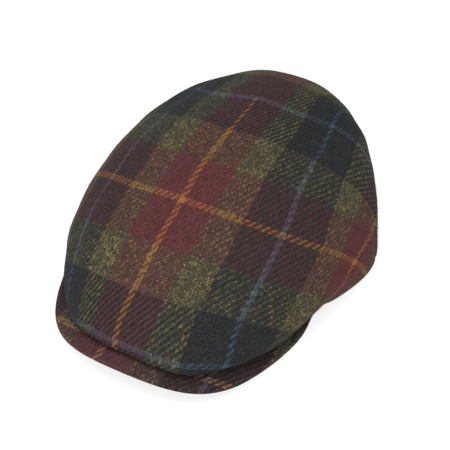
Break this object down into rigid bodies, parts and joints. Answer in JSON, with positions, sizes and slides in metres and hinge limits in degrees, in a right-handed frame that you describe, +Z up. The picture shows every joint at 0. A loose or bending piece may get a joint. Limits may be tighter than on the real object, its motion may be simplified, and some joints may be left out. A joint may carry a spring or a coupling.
{
  "type": "flat cap",
  "caption": "Flat cap in tartan tweed, with a rounded crown darted at each side, sewn down over a short stiffened peak, and open below for the head.",
  "frame": {"origin": "middle of the cap's footprint, on the surface it rests on", "axes": "+Z up, -Y towards the front of the cap, where the peak is, and +X towards the wearer's left"},
  "size_m": [0.1894, 0.2608, 0.095],
  "materials": {
    "crown_tweed": "twill tartan tweed in burgundy, black, olive, orange and blue",
    "peak_tweed": "the same tweed, drawn smooth over a stiff board"
  },
  "bodies": {
    "root": {"crown": "crown_tweed", "peak": "peak_tweed"}
  },
  "joints": []
}
